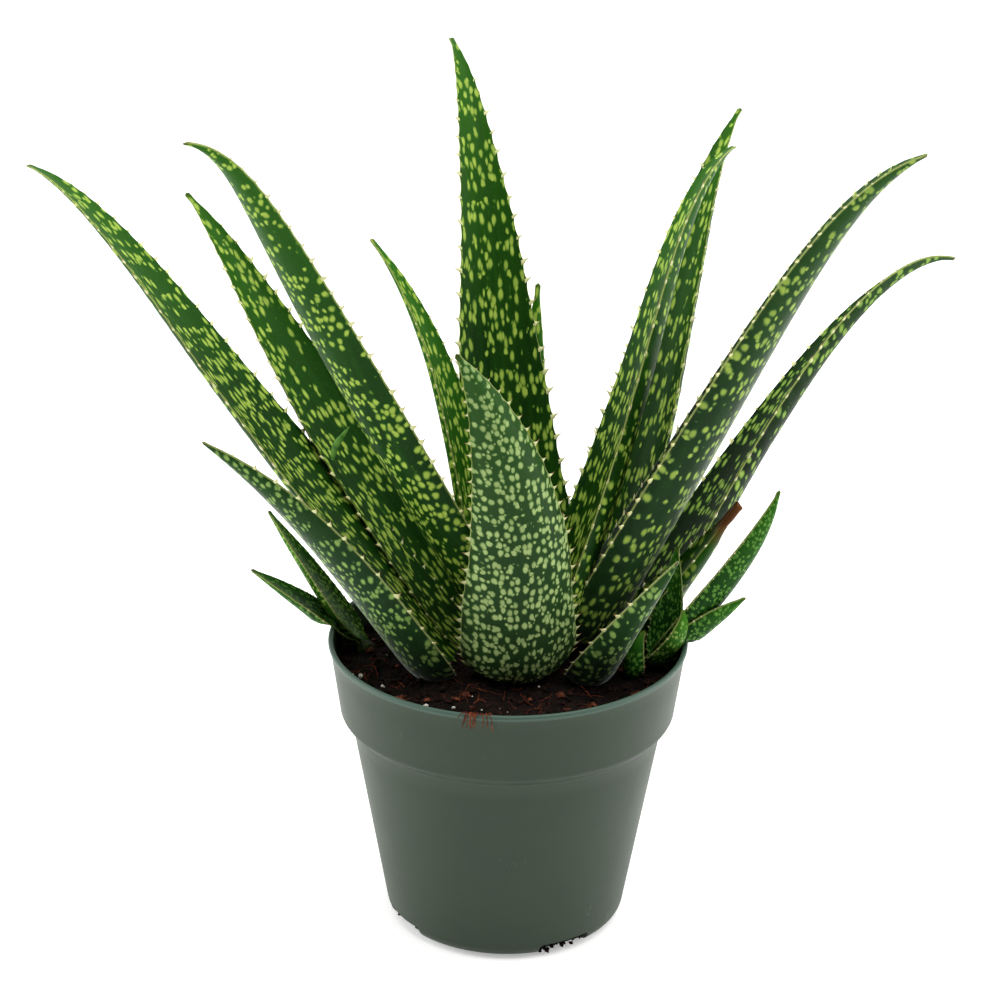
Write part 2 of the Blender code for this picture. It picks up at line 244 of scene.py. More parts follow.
# %% The leaves of the two young side plants
LEFT_OFFSET_LEAVES = {
    "offset_left_leaf_low": Leaf(182, 2, 43, 60, 0.5, 38, 12, 2.1, 3.5, 0.12, -7, 3, 85, -2),
    "offset_left_leaf_side": Leaf(168, 1, 35.5, 38, 1, 47, 12, 2, 3.5, 0.12, -1, 2, 85, -2.5),
}
RIGHT_OFFSET_LEAVES = {
    "offset_right_leaf_long": Leaf(-11, -2, 38, 17, 3, 64.5, 16, 2.5, 4, 0.15, -38, 0, 86, 4),
    "offset_right_leaf_low": Leaf(-15, 2, 42.5, 56, 0.5, 32, 14, 2.6, 3.5, 0.15, -39, 1, 86, 2.5),
    "offset_right_leaf_back": Leaf(59, 1, 13, 15, 1, 35, 12, 2.1, 4, 0.14, 0, -0.5, 83.5, -2.5),
    "offset_right_leaf_short": Leaf(-35, -4, 45, 0, 2, 21, 13, 2.4, 3.5, 0.08, -3, 0, 85, -1),
    "offset_right_leaf_bud": Leaf(-127, 13, 7, -29, 1, 13, 7, 2.3, 4, 0.12, -3, 9.5, 82.5, 0),
}
print(len(LEFT_OFFSET_LEAVES) + len(RIGHT_OFFSET_LEAVES), "leaves on the side plants")

# %% [markdown]
# ### A leaf's middle line
#
# The line starts at the foot and is walked to the tip in small steps, each in the direction that the lean and
# the sway give there. Two more directions ride along it: one across the leaf and one out of its back. A grown
# leaf is never a perfect sweep, so the line also wanders a little, by about a hundredth of the leaf's width.

# %% Walk a leaf's middle line
FINE_STEPS = 400
WANDER = 0.012  # as a share of the width
FOOT_TWIST = 0.35  # the part of the twist that the foot already has


def leaf_line(leaf, crown, s):
    """Points and directions at the shares s of the length. A share below 0 runs on into the crown."""
    azimuth = math.radians(leaf.azimuth)
    out = np.array([math.cos(azimuth), math.sin(azimuth), 0.0])
    side = np.array([-math.sin(azimuth), math.cos(azimuth), 0.0])
    up = np.array([0.0, 0.0, 1.0])

    def directions(share):
        t = np.clip(share, 0, 1)
        lean = np.radians(leaf.lean_foot + (leaf.lean_tip - leaf.lean_foot) * t**leaf.arch)[:, None]
        sway = np.radians(leaf.sway * t**2)[:, None]
        rise = out * np.sin(lean) + up * np.cos(lean)
        along = rise * np.cos(sway) + side * np.sin(sway)
        sideways = side * np.cos(sway) - rise * np.sin(sway)
        back = out * np.cos(lean) - up * np.sin(lean)
        return along, sideways, back

    fine = np.linspace(0, 1, FINE_STEPS)
    heading = directions(fine)[0]
    steps = (heading[1:] + heading[:-1]) / 2 * leaf.length / (FINE_STEPS - 1)
    walked = np.vstack([np.zeros(3), np.cumsum(steps, axis=0)])
    line = np.stack([np.interp(s, fine, walked[:, axis]) for axis in range(3)], axis=1)
    line = line + out * leaf.reach + side * leaf.shift + up * leaf.height + np.array([*crown, 0.0])
    along, sideways, back = directions(s)
    line = line + along * (np.minimum(s, 0) * leaf.length)[:, None]
    twist = np.radians(leaf.twist * (FOOT_TWIST + (1 - FOOT_TWIST) * np.clip(s, 0, 1)))[:, None]
    across = sideways * np.cos(twist) - back * np.sin(twist)
    outward = back * np.cos(twist) + sideways * np.sin(twist)
    phase = leaf.azimuth
    wander = WANDER * leaf.width * (np.sin(11 * s + phase) + 0.6 * np.sin(23 * s + 2 * phase))
    line = line + across * (wander * np.clip(s * 5, 0, 1) * np.clip(1 - s, 0, 1))[:, None]
    return line, along, across, outward


# %% [markdown]
# ### A leaf's cross-section
#
# The inner face is a shallow arc, and the outer face bulges behind it. Both meet in a thin rounded edge. Near
# the soil the leaf draws in over a few millimetres, which gives it the rounded heel that a real one has.

# %% Width and thickness along a leaf
HEEL = 12.0  # how far up the leaf its heel is round
HEEL_WIDTH = 0.36  # the part of the width and of the thickness that is left under the heel
RUN_IN = 12.0  # how far the leaf runs on below its foot, into the soil and the crown
STUB_WIDTH = 2.9  # of the shrivelled end of the withered leaf
STUB_THICKNESS = 1.5
STUB_FROM = 0.88  # where the shrivelled end starts, as a share of the length
STUB_TURN = 0.09  # how much of the length the leaf takes to shrivel
PUCKER = 0.35


def leaf_size(leaf, s, shrivelled=False):
    """The width and the extra thickness of the middle at the shares s."""
    t = np.clip(s, 0, 1)
    width = np.maximum(leaf.width * np.maximum(1 - t**leaf.taper, 0) ** 0.95, TIP_WIDTH)
    thickness = leaf.thickness * (1 - t) ** 0.7
    rise = np.clip(s * leaf.length / min(HEEL, leaf.length / 5), 0, 1)
    drawn_in = HEEL_WIDTH + (1 - HEEL_WIDTH) * np.sqrt(1 - (1 - rise) ** 2)
    if shrivelled:
        dry = np.clip((t - STUB_FROM + 0.04) / STUB_TURN, 0, 1)
        width = width * (1 - dry) + (STUB_WIDTH + PUCKER * np.sin(95 * t)) * dry
        thickness = thickness * (1 - dry) + STUB_THICKNESS * dry
    return width * drawn_in, thickness * drawn_in


def leaf_section(leaf, width, thickness, x):
    """Heights of the inner and the outer face behind the middle line, where x runs from edge to edge."""
    share = 1 - x**2
    inner = leaf.channel * width * share
    outer = inner + EDGE_THICKNESS + thickness * share**0.6
    return inner, outer


# %% [markdown]
# ### Teeth
#
# Aloe edges carry small horny teeth, cream with a browner point, set close at the foot and wider apart higher
# up. They show against the light, so a bump in a material can't stand in for them. Each one is a short curved
# thorn with a flared foot, made from the same kind of skin as the leaf.


# %% The habit of a leaf's teeth
class Teeth(NamedTuple):
    """Lengths in millimetres."""

    length: float
    foot: float  # half of the tooth's length along the leaf's edge
    close: float  # spacing at the leaf's foot
    wide: float  # spacing from a third of the way up
    lean: float  # how far they lean over to the inner face, as a share of how far they stand out
    lowest: float = 0.55  # size of the teeth at the leaf's foot, as a share


STRONG_TEETH = Teeth(2.8, 1.2, 3.2, 7.8, 0.55)
FRONT_TEETH = Teeth(2.4, 0.95, 1.9, 5.8, 0.1, 1.0)
SMALL_TEETH = Teeth(1.9, 0.9, 2.6, 5.6, 0.5)
OFFSET_TEETH = Teeth(1.1, 0.5, 2.0, 2.9, 0.4)
SCALLOP = 0.5  # how far the edge draws in between two teeth
TOOTH_SIDES = 8
TOOTH_THICKNESS = 0.42
TOOTH_HOOK = 0.30  # how far the point bends up the leaf, as a share of the tooth's length
TOOTH_LEVELS = np.array([-0.25, 0.0, 0.22, 0.45, 0.7, 0.88, 1.0])


def tooth(place, out, along, back, size, habit):
    """Points, faces and the share of the way to the point, of one tooth."""
    angles = np.arange(TOOTH_SIDES) * math.tau / TOOTH_SIDES
    rings = []
    for level in TOOTH_LEVELS:
        left = max(1 - max(level, 0), 0.0)
        half = habit.foot * size * (left**1.9 + 0.06)
        thick = TOOTH_THICKNESS * size * (left**1.2 + 0.10)
        middle = place + out * (level * habit.length * size)
        middle = middle + along * (TOOTH_HOOK * habit.length * size * max(level, 0) ** 2)
        rings.append(middle + np.outer(np.cos(angles), along * half) + np.outer(np.sin(angles), back * thick))
    points, faces = loft(rings)
    return points, faces, np.repeat(np.clip(TOOTH_LEVELS, 0, 1), TOOTH_SIDES)


# %% Space the teeth along one edge, and draw the edge in between them
def tooth_places(leaf, habit, dice, last):
    """How far up the leaf each tooth stands, from near the foot to the share last of the length."""
    places = []
    walked = 0.04 * leaf.length + dice.uniform(0, 1.5)
    while walked < last * leaf.length:
        places.append(walked)
        share_up = min(walked / leaf.length / 0.33, 1.0)
        spacing = habit.close + (habit.wide - habit.close) * share_up
        walked += spacing * dice.uniform(0.8, 1.2) * (1 - 0.25 * walked / leaf.length)
    return np.array(places)


def scallops(v, places):
    """How far the edge is drawn in at the heights v: nothing at a tooth, most halfway between two."""
    ends = np.concatenate([[places[0] - 3], places, [places[-1] + 3]])
    below = np.clip(np.searchsorted(ends, v) - 1, 0, len(ends) - 2)
    gap = ends[below + 1] - ends[below]
    share = np.clip((v - ends[below]) / gap, 0, 1)
    return SCALLOP * np.minimum(gap / 6, 1) * 4 * share * (1 - share)


# %% Set the teeth on a leaf
def teeth_of(leaf, crown, habit, dice, places, edge):
    """The teeth of one edge, which is -1 or 1."""
    found = []
    for walked in places:
        s = walked / leaf.length
        line, along, across, outward = leaf_line(leaf, crown, np.array([s]))
        width = leaf_size(leaf, np.array([s]))[0][0]
        place = line[0] + across[0] * edge * (width / 2 - 0.15) + outward[0] * EDGE_THICKNESS / 2
        at_foot = habit.lowest + (1 - habit.lowest) * min(s / 0.3, 1.0)
        size = dice.uniform(0.8, 1.1) * (1 - 0.35 * s) * min(1.0, width / 12 + 0.25) * at_foot
        lean_in = habit.lean + dice.uniform(-0.12, 0.12)
        out = across[0] * edge + along[0] * dice.uniform(0.05, 0.4) - outward[0] * lean_in
        found.append(tooth(place, out / np.linalg.norm(out), along[0], outward[0], size, habit))
    return found


# %% [markdown]
# ### From numbers to a leaf
#
# The rings are skinned into one closed mesh, and the teeth join it. The skin also gets a flat map in real
# millimetres, u across the leaf and v along it, so that the spots keep their size on a wide leaf and a narrow
# one. Values are stored at each point for the materials: the distance to the edge, the share of the way up,
# which face it is on, how dry it is, and on a tooth the share of the way to its point.

# %% Keep a leaf clear of the pot's lip
LIP_INSIDE = 52.0
LIP_TOP = 91.0
INSIDE_DRAFT = 0.145  # how much narrower the inside of the band gets for each millimetre down


def clear_of_lip(points):
    """Where a leaf would pass through the rim, it rests on the lip or is pressed against the inside."""
    moved = points.copy()
    out = np.hypot(points[:, 0], points[:, 1])
    below = LIP_TOP - points[:, 2]
    room = LIP_INSIDE - INSIDE_DRAFT * below
    beyond = out - room
    crossing = (beyond > 0) & (below > 0)
    up = crossing & (below < beyond + 1)
    inward = crossing & ~up
    moved[up, 2] = LIP_TOP
    moved[inward, :2] *= (room[inward] / out[inward])[:, None]
    return moved


# %% Build one leaf
ACROSS = 14  # divisions of each face from edge to edge
STEP = 1.4  # between rings, in millimetres
LAST_TOOTH = 0.965  # as a share of the length
EDGE_ROUNDING = 0.22  # how far the edge's crest stands out
TIP_LEFT = 0.12  # the part of the last ring's width that the closing ring has
TIP_LENGTH = 0.9
FACE_GAP = 400.0  # keeps the spots of the two faces apart on the map
LEAF_GAPS = (37.0, 29.0)  # how far one leaf's map is moved from the one before, to give it other spots


def grow_leaf(node, leaf, crown, skin, horn, habit, seed, shrivelled=False):
    """The leaf that stands for one CAD node."""
    stations = int((leaf.length + RUN_IN) / STEP)
    s = np.linspace(-RUN_IN / leaf.length, 1, stations)
    line, along, across, outward = leaf_line(leaf, crown, s)
    width, thickness = leaf_size(leaf, s, shrivelled)
    x = -np.cos(np.linspace(0, math.pi, ACROSS + 1))
    dice = np.random.default_rng(seed)
    last = STUB_FROM - 0.05 if shrivelled else LAST_TOOTH
    places = {edge: tooth_places(leaf, habit, dice, last) for edge in (-1.0, 1.0)}
    drawn = {edge: scallops(s * leaf.length, places[edge]) for edge in (-1.0, 1.0)}
    rings = []
    for i in range(stations):
        inner, outer = leaf_section(leaf, width[i], thickness[i], x)
        u = x * width[i] / 2
        u = u + x**6 * min(1.0, width[i] / 10) * np.where(x < 0, drawn[-1.0][i], -drawn[1.0][i])
        front = line[i] + np.outer(u, across[i]) + np.outer(inner, outward[i])
        rear = line[i] + np.outer(u, across[i]) + np.outer(outer, outward[i])
        rounding = across[i] * EDGE_ROUNDING
        right = line[i] + across[i] * u[-1] + rounding + outward[i] * EDGE_THICKNESS / 2
        left = line[i] + across[i] * u[0] - rounding + outward[i] * EDGE_THICKNESS / 2
        rings.append([*front, right, *rear[::-1], left])
    apex = line[-1] + along[-1] * TIP_LENGTH + outward[-1] * EDGE_THICKNESS / 2
    rings.append(apex + (np.array(rings[-1]) - apex) * TIP_LEFT)
    points, faces = loft(rings)
    around = len(rings[0])

    s_all = np.append(s, 1.0)
    width_all = np.append(width, width[-1] * TIP_LEFT)
    x_ring = np.array([*x, 1.0, *x[::-1], -1.0])
    u_ring = width_all[:, None] / 2 * x_ring
    on_crest = np.array([0.0 if i in (ACROSS + 1, 2 * ACROSS + 3) else 0.2 for i in range(around)])
    edge = (width_all[:, None] / 2 * (1 - np.abs(x_ring)) + on_crest).ravel()
    is_outer = np.array([0.0] * (ACROSS + 1) + [0.5] + [1.0] * (ACROSS + 1) + [0.5])
    dry = 0.25 * np.clip((s_all - 0.985) / 0.015, 0, 1)
    if shrivelled:
        dry = np.clip((s_all - STUB_FROM + 0.07) / STUB_TURN, 0, 1)

    thorns = []
    for side in (-1.0, 1.0):
        thorns += teeth_of(leaf, crown, habit, dice, places[side], side)
    skin_points, skin_faces = len(points), len(faces)
    points, faces = gather([(points, faces)] + [thorn[:2] for thorn in thorns])
    slots = [0] * skin_faces + [1] * (len(faces) - skin_faces)
    thing = make_object("grown_" + node, clear_of_lip(points), faces, [skin, horn], slots)

    to_point = [np.zeros(skin_points)] + [thorn[2] for thorn in thorns]
    on_teeth = np.zeros(len(points) - skin_points)
    give_attribute(thing, "edge_mm", np.append(edge, on_teeth))
    give_attribute(thing, "share_up", np.append(np.repeat(s_all, around), on_teeth))
    give_attribute(thing, "outer_face", np.append(np.tile(is_outer, len(s_all)), on_teeth))
    give_attribute(thing, "dryness", np.append(np.repeat(dry, around), on_teeth))
    give_attribute(thing, "to_point", np.concatenate(to_point))
    map_leaf(thing, s_all * leaf.length, u_ring, around, seed)
    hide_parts(node)
    return thing


# %% Lay a leaf's flat map
def map_leaf(thing, v_ring, u_ring, around, seed):
    """The map of the skin in millimetres. The outer face lies FACE_GAP to the right of the inner one."""
    corner = np.zeros((len(thing.data.loops), 2))
    filled = 0
    for r in range(len(v_ring) - 1):
        for i in range(around):
            j = (i + 1) % around
            outer_column = ACROSS + 1 <= i < around - 1
            shift = (FACE_GAP if outer_column else 0.0) + LEAF_GAPS[0] * seed
            for ring, column in ((r, i), (r, j), (r + 1, j), (r + 1, i)):
                corner[filled] = (u_ring[ring, column] + shift, v_ring[ring] + LEAF_GAPS[1] * seed)
                filled += 1
    layer = thing.data.uv_layers.new(name="leaf_mm")
    layer.data.foreach_set("uv", corner.ravel())


# %% [markdown]
# ### Leaf skin
#
# The skin is living leaf under a thin film of wax: an IOR of about 1.45 and a satin roughness near 0.37. The
# film scatters the mirror-like part of the light, so the specular level is low. On the low and long leaves it
# shows as a pale sheen where one looks along them. Below the wax the green is deep, with lighter streaks
# that run lengthwise. The pale spots are patches with air under the skin. They are scattered, but in loose
# bands across the leaf, and where they crowd they run together. A cell pattern gives the scatter, its cell
# size in millimetres is the spacing of the spots, and a slow noise decides where they crowd.

# %% Looks of the leaves
class Look(NamedTuple):
    """What tells one leaf's skin from another's. Sizes are in millimetres."""

    deep: str = "#081F05"  # the green, with its streaks
    light: str = "#1B440A"
    bloom: str = "#1E3C24"  # wax on the outer face
    bloom_share: float = 0.10
    spot: str = "#A3BB4E"
    halo: str = "#3F7320"
    spots: tuple = ((2.2, 0.84, 0.33), (1.7, 0.46, 0.30))  # spacing, share of cells filled, radius in cells
    stretch: tuple = (2.7, 1.9)  # how long the spots are for their width, on the inner and the outer face
    bands: tuple = (14.0, 7.0)  # width and depth of the bands in which they crowd
    fade: float = 0.30  # how much rarer the spots get towards the tip
    dimming: float = 0.10  # how much weaker they get
    fresh_share: float = 0.35  # how much brighter green the tip is
    outer_thinning: float = 0.05  # how much rarer they are on the outer face
    sheen: float = 0.0


OLD_LEAF = Look()
FRONT_LEAF = OLD_LEAF._replace(
    deep="#172E12",
    light="#233F18",
    bloom="#314A2C",
    bloom_share=0.30,
    spot="#B3C882",
    halo="#4A7330",
    spots=((2.2, 0.98, 0.37), (1.6, 0.55, 0.30)),
    stretch=(1.6, 1.35),
    bands=(8.0, 4.0),
    dimming=0.45,
    fresh_share=0.2,
    outer_thinning=0.0,
)
LOW_LEAF = OLD_LEAF._replace(
    deep="#071B06",
    light="#153609",
    bloom="#314B33",
    bloom_share=0.18,
    spot="#90AE5A",
    halo="#3A6434",
    spots=((1.8, 0.80, 0.32), (1.3, 0.50, 0.29)),
    stretch=(2.7, 2.0),
    dimming=0.25,
    fresh_share=0.1,
    outer_thinning=-0.04,
    sheen=0.45,
)
LONG_LEAF = LOW_LEAF._replace(
    bloom_share=0.14,
    spot="#9FB84E",
    spots=((2.0, 0.80, 0.31), (1.5, 0.46, 0.28)),
    stretch=(2.7, 2.7),
    fresh_share=0.2,
    sheen=0.30,
)
# Darker greens than the old skin: painted shade for a leaf that the right lamp lights more than the rest
OUTER_LEAF = OLD_LEAF._replace(
    deep="#040F03",
    light="#0E2606",
    bloom="#1B3420",
    spot="#8EA84A",
    spots=((1.9, 0.80, 0.32), (1.5, 0.50, 0.29)),
    stretch=(2.9, 2.6),
    dimming=0.25,
    fresh_share=0.15,
    outer_thinning=0.10,
)
YOUNG_LEAF = OLD_LEAF._replace(
    deep="#0E2E08",
    light="#285C0E",
    bloom_share=0.04,
    spots=((2.0, 0.90, 0.33), (1.6, 0.50, 0.28)),
    fade=0.05,
    outer_thinning=0.0,
)
OFFSET_LEAF = OLD_LEAF._replace(
    deep="#08240A",
    light="#1A470E",
    bloom_share=0.05,
    spot="#5F8C3A",
    halo="#336A1C",
    spots=((1.4, 0.90, 0.31), (1.0, 0.60, 0.28)),
    stretch=(1.8, 1.6),
    bands=(8.0, 4.0),
    fade=0.1,
    outer_thinning=0.0,
)
# Lighter greens: partly the fresh green of young leaves, partly painted light where their faces lie in shadow
SHOOT_LEAF = OFFSET_LEAF._replace(
    deep="#1A400E", light="#38661B", bloom_share=0.0, spot="#8DAC50", halo="#4A7E28"
)
FRESH_GREEN = "#3F8412"
HORNY_EDGE = "#A9B268"
HUSK = ("#2B1608", "#70441E")

# %% Leaf skin material
RAGGED = 0.7  # how far the outline of a spot wanders, in millimetres
CROWDING = 2.1  # how strongly the bands gather the spots
STREAK = (2.4, 40.0)  # width and length of the lengthwise streaks, in millimetres


def leaf_skin(name, look):
    made, shader, add = start_material(
        name, 1.45, Specular_IOR_Level=0.06, Sheen_Weight=look.sheen, Sheen_Roughness=0.3
    )
    place = add("UVMap", uv_map="leaf_mm")
    edge_mm, share_up, outer_face, dryness = (
        add("Attribute", attribute_name=stored).outputs["Fac"]
        for stored in ("edge_mm", "share_up", "outer_face", "dryness")
    )

    # The map is shortened along the leaf, which draws round spots out into long ones
    axes = add("SeparateXYZ", {0: place})
    inner_stretch, outer_stretch = look.stretch
    squeeze = add(
        "MapRange", {"Value": outer_face, "To Min": 1 / inner_stretch, "To Max": 1 / outer_stretch}
    )
    shortened = add("Math", {0: axes.outputs["Y"], 1: squeeze}, operation="MULTIPLY")
    flat = add("CombineXYZ", {"X": axes.outputs["X"], "Y": shortened})
    ragged = add("TexNoise", {"Vector": flat, "Scale": 0.5, "Detail": 1.0}, noise_dimensions="2D")
    moved = add(
        "VectorMath",
        {0: ragged.outputs["Color"], 1: (RAGGED, RAGGED, 0.0), 2: flat},
        operation="MULTIPLY_ADD",
    )

    # Where the spots crowd: bands that wander across the leaf, and fewer of them towards the tip
    width, depth = look.bands
    bands = add("VectorMath", {0: place, 1: (1 / width, 1 / depth, 0.0)}, operation="MULTIPLY")
    crowd = add("TexNoise", {"Vector": bands, "Scale": 1.0, "Detail": 1.0}, noise_dimensions="2D")
    fading = add("MapRange", {"Value": share_up, "To Min": -0.03, "To Max": -0.03 - look.fade})
    scattered = add("Math", {0: crowd, 1: CROWDING, 2: fading}, operation="MULTIPLY_ADD")
    thinning = add("Math", {0: outer_face, 1: look.outer_thinning}, operation="MULTIPLY")
    crowding = add("Math", {0: scattered, 1: thinning}, operation="SUBTRACT")

    spotted = haloed = 0.0
    for spacing, share, reach in look.spots:
        grid = add("VectorMath", {0: moved, 1: (1 / spacing, 1 / spacing, 0.0)}, operation="MULTIPLY")
        cells = add(
            "TexVoronoi", {"Vector": grid, "Scale": 1.0, "Randomness": 0.72}, voronoi_dimensions="2D"
        )
        chance = add("SeparateColor", {0: cells.outputs["Color"]})
        total = add("Math", {0: chance, 1: crowding}, operation="ADD")
        radius = add(
            "MapRange",
            {"Value": total, "From Min": 1.85 - share, "From Max": 2.05 - share, "To Max": reach},
        )
        inside = add("Math", {0: radius, 1: cells.outputs["Distance"]}, operation="SUBTRACT")
        core, soft = (
            add(
                "MapRange",
                {"Value": inside, "From Min": low, "From Max": high},
                interpolation_type="SMOOTHSTEP",
            )
            for low, high in ((-0.03, 0.19), (-0.10, 0.06))
        )
        strength = add("MapRange", {"Value": chance.outputs[1], "To Min": 0.72, "To Max": 1.0})
        core = add("Math", {0: core, 1: strength}, operation="MULTIPLY")
        spotted = add("Math", {0: spotted, 1: core}, operation="MAXIMUM")
        haloed = add("Math", {0: haloed, 1: soft}, operation="MAXIMUM")

    # The green: lengthwise streaks, fresher towards the tip, with a grey bloom of wax on the outer face
    lengthwise = add("VectorMath", {0: place, 1: (1 / STREAK[0], 1 / STREAK[1], 0.0)}, operation="MULTIPLY")
    streaks = add("TexNoise", {"Vector": lengthwise, "Scale": 1.0, "Detail": 3.0}, noise_dimensions="2D")
    freshness = add(
        "MapRange", {"Value": share_up, "From Min": 0.45, "From Max": 1.0, "To Max": look.fresh_share}
    )
    waxy = add("MapRange", {"Value": outer_face, "To Min": 0.05, "To Max": look.bloom_share})
    halo_share = add("Math", {0: haloed, 1: 0.45}, operation="MULTIPLY")
    paling = add("MapRange", {"Value": share_up, "To Min": 0.95, "To Max": 0.95 - look.dimming})
    spot_share = add("Math", {0: spotted, 1: paling}, operation="MULTIPLY")
    # A pale horny line along the edge, and brown where the tissue has dried
    rim = add(
        "MapRange",
        {"Value": edge_mm, "From Min": 0.02, "From Max": 0.24, "To Min": 0.7, "To Max": 0.0},
    )
    green, husk = (
        add("Mix", {FACTOR: streaks, FIRST: linear(dark), SECOND: linear(light)}, data_type="RGBA")
        for dark, light in ((look.deep, look.light), HUSK)
    )
    colour = layered(
        add,
        green,
        (
            (freshness, FRESH_GREEN),
            (waxy, look.bloom),
            (halo_share, look.halo),
            (spot_share, look.spot),
            (rim, HORNY_EDGE),
            (dryness, husk),
        ),
    )

    grain = add("TexNoise", {"Vector": place, "Scale": 1.6, "Detail": 3.0}, noise_dimensions="2D")
    roughness = add("MapRange", {"Value": grain, "To Min": 0.30, "To Max": 0.44})
    height = add("Math", {0: spotted, 1: 0.35, 2: grain}, operation="MULTIPLY_ADD")
    finish_material(add, shader, colour, roughness, height, 0.10)
    return made


skins = {
    "old": leaf_skin("old_aloe_leaf_skin", OLD_LEAF),
    "front": leaf_skin("waxy_front_leaf_skin", FRONT_LEAF),
    "low": leaf_skin("bloomy_aloe_leaf_skin", LOW_LEAF),
    "long": leaf_skin("long_aloe_leaf_skin", LONG_LEAF),
    "young": leaf_skin("young_aloe_leaf_skin", YOUNG_LEAF),
    "offset": leaf_skin("side_plant_leaf_skin", OFFSET_LEAF),
    "outer": leaf_skin("shade_darkened_aloe_leaf_skin", OUTER_LEAF),
    "shoot": leaf_skin("fresh_and_painted_light_shoot_leaf_skin", SHOOT_LEAF),
}
print("leaf skins:", [skin.name for skin in skins.values()])

# %% [markdown]
# ### Tooth horn
#
# The teeth are dead, hard tissue like horn: an IOR of about 1.55 and a semi-gloss near 0.35. They look like
# old ivory with a green cast at the foot, and their points have browned in the sun.


# %% Horn for the teeth
def horn(name, foot, point):
    made, shader, add = start_material(name, 1.55)
    to_point = add("Attribute", attribute_name="to_point").outputs["Fac"]
    place = add("TexCoord").outputs["Object"]
    grain = add("TexNoise", {"Vector": place, "Scale": 1200.0, "Detail": 2.0})
    browned = add(
        "MapRange",
        {"Value": to_point, "From Min": 0.35, "From Max": 0.9},
        interpolation_type="SMOOTHSTEP",
    )
    tone = add("Mix", {FACTOR: grain, FIRST: linear(foot), SECOND: linear("#E2DCA6")}, data_type="RGBA")
    roughness = add("MapRange", {"Value": grain, "To Min": 0.28, "To Max": 0.42})
    finish_material(add, shader, layered(add, tone, ((browned, point),)), roughness, grain, 0.03)
    return made


ivory_horn = horn("ivory_tooth_horn", "#A9B56A", "#8A5628")
brown_horn = horn("brown_tooth_horn", "#7A6A38", "#55301A")

# %% Grow every leaf
leaf_kinds = {
    "leaf_front": "front",
    "leaf_front_left": "low",
    "leaf_front_right": "low",
    "leaf_right_long": "long",
    "leaf_right_outer": "outer",
    "offset_left_leaf_side": "shoot",
    "offset_right_leaf_short": "shoot",
    "leaf_young_left": "young",
    "leaf_young_back": "young",
}
habits = {"front": FRONT_TEETH, "young": SMALL_TEETH, "offset": OFFSET_TEETH, "shoot": OFFSET_TEETH}
seed = 0
for group, crown in (
    (CROWN_LEAVES, (0.0, 0.0)),
    (LEFT_OFFSET_LEAVES, LEFT_OFFSET),
    (RIGHT_OFFSET_LEAVES, RIGHT_OFFSET),
):
    for name, leaf in group.items():
        seed += 1
        kind = leaf_kinds.get(name, "old" if group is CROWN_LEAVES else "offset")
        habit = habits.get(kind, STRONG_TEETH)
        points_of_horn = ivory_horn if group is CROWN_LEAVES else brown_horn
        withered = name == "leaf_withered"
        grown = grow_leaf(name, leaf, crown, skins[kind], points_of_horn, habit, seed, withered)
        print(f"{name}: {len(grown.data.polygons)} faces")

# %% [markdown]
# ### A split sliver on one leaf
#
# A strip of the edge has split off the leaf behind the long left one and has curled up. It is part of that
# leaf, so it is only a detail of its look: a flat tapering shred, skinned over a few rings.

# %% Curl the sliver
SLIVER = (  # middle of each ring, and half of its width
    ((-52.8, 8.0, 143.5), 0.9),
    ((-51.8, 5.0, 149.5), 1.3),
    ((-49.6, 2.0, 153.5), 0.9),
    ((-47.0, 1.0, 157.5), 0.2),
)
FLAT_WAY = np.array([0.75, -0.2, -0.55])
THIN_WAY = np.array([0.3, 0.9, 0.1]) * 0.45
turns = np.arange(10) * math.tau / 10
sliver_points, sliver_faces = loft(
    [
        np.array(middle) + np.outer(np.cos(turns), FLAT_WAY * half) + np.outer(np.sin(turns), THIN_WAY * half)
        for middle, half in SLIVER
    ]
)
sliver = make_object("curled_leaf_sliver", sliver_points, sliver_faces, [skins["offset"]])
smoothing = sliver.modifiers.new("rounding", "SUBSURF")
smoothing.levels = smoothing.render_levels = 2
sliver.data.uv_layers.new(name="leaf_mm")
give_attribute(sliver, "edge_mm", np.full(len(sliver_points), 2.0))
give_attribute(sliver, "outer_face", np.ones(len(sliver_points)))

# %% [markdown]
# ## The soil
#
# A peat mix is dark, moist and crumbly, and it heaps up a little round the crown. The plug inside the pot is
# turned like the CAD one, but its top is a fine net of points, pushed up and down by noise of two sizes: one
# for the lie of the ground and one for the crumbs that are pressed into it.

# %% The inside of the pot
RIM_RADIUS = 54.0
POT_HEIGHT = 90.5
WALL = 1.2
LIP = 1.6
BAND_FOOT_RADIUS = 50.6
BAND_FOOT_HEIGHT = 69.0
SHOULDER = 3.0
WALL_FOOT_RADIUS = 36.5
CORNER = 5.0
FLOOR_THICKNESS = 2.2
SOIL_TOP = 82.0
wall_top = BAND_FOOT_RADIUS - SHOULDER


def band_inside(height):
    """The inner radius of the rim band at a height."""
    lip_inside = (RIM_RADIUS - LIP, POT_HEIGHT - LIP / 2)
    share = (height - BAND_FOOT_HEIGHT) / (lip_inside[1] - BAND_FOOT_HEIGHT)
    return BAND_FOOT_RADIUS - WALL + share * (lip_inside[0] - BAND_FOOT_RADIUS + WALL)


def ground(x, y):
    """The height of the soil, which heaps up towards the crown."""
    far = math.hypot(x, y)
    heap = 3.2 * math.exp(-((far / 21) ** 2))
    lie = 1.3 * noise.noise(Vector((x / 13, y / 13, 0.3)))
    crumbs = 0.75 * noise.fractal(Vector((x / 2.6, y / 2.6, 4.1)), 1.0, 2.1, 3)
    return SOIL_TOP - 0.7 + heap + lie + crumbs


print("soil height at the crown and at the rim:", round(ground(0, 0), 1), round(ground(50, 0), 1))

